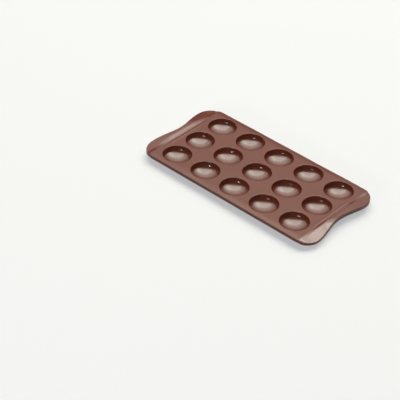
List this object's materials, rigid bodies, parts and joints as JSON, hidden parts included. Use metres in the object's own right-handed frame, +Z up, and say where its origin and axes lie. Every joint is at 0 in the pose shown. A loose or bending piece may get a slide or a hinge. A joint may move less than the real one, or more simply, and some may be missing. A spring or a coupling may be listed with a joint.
{
  "type": "silicone chocolate mold",
  "caption": "Flexible one-piece silicone tray with rows of round domed praline cavities, a turned-down edge and a swollen grip tab at each end.",
  "frame": {"origin": "under the centre of the tray, on the surface that the cups' base flats stand on", "axes": "+X along the tray's length towards one grip tab, +Y across it, +Z up out of the cavities"},
  "size_m": [0.214, 0.106, 0.0126],
  "materials": {
    "brown_silicone": "Satin moulded silicone in milk-chocolate brown: soft wide highlights, smooth inside the cups, slightly duller on the underside."
  },
  "bodies": {
    "root": {"mold_tray": "brown_silicone"}
  },
  "joints": []
}
